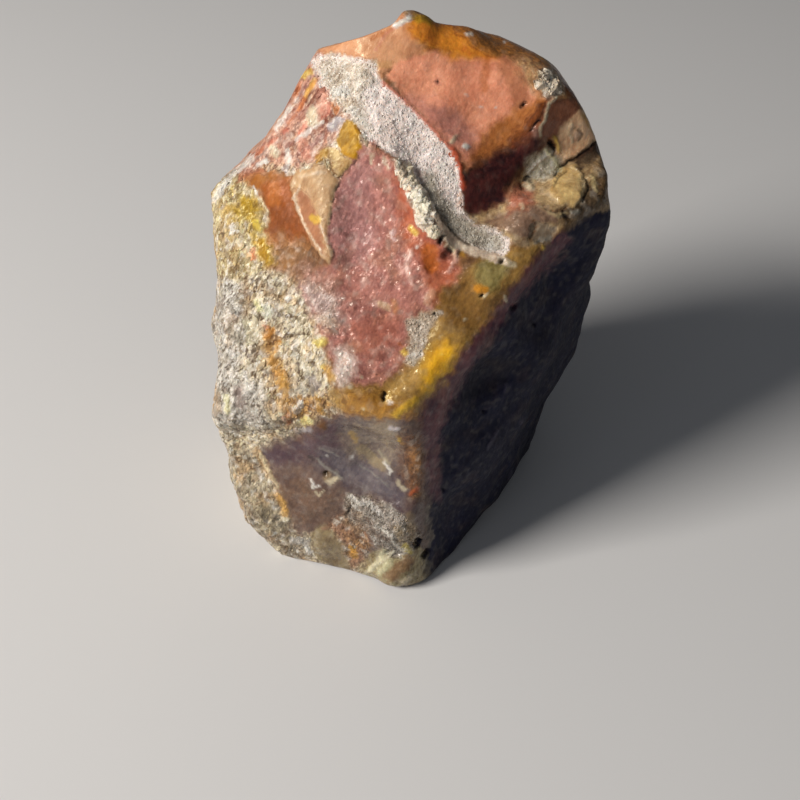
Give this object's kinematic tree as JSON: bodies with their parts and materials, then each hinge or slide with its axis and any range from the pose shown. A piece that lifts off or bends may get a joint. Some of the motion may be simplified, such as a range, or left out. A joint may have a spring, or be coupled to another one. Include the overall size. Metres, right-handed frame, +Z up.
{
  "type": "rough jasper",
  "caption": "Upright broken lump of rough red jasper with grey chalcedony, a granular white band and a hollow chipped top, standing on its flat broken foot.",
  "frame": {"origin": "middle of the stone's box, on the plane of its flat foot", "axes": "+Z up out of the foot, along the stone's longest extent; -Y is the show side"},
  "size_m": [0.0476, 0.0414, 0.0642],
  "materials": {
    "jasper": "natural broken stone, waxy on the chipped faces and granular on the crust"
  },
  "bodies": {
    "root": {"stone": "jasper"}
  },
  "joints": []
}
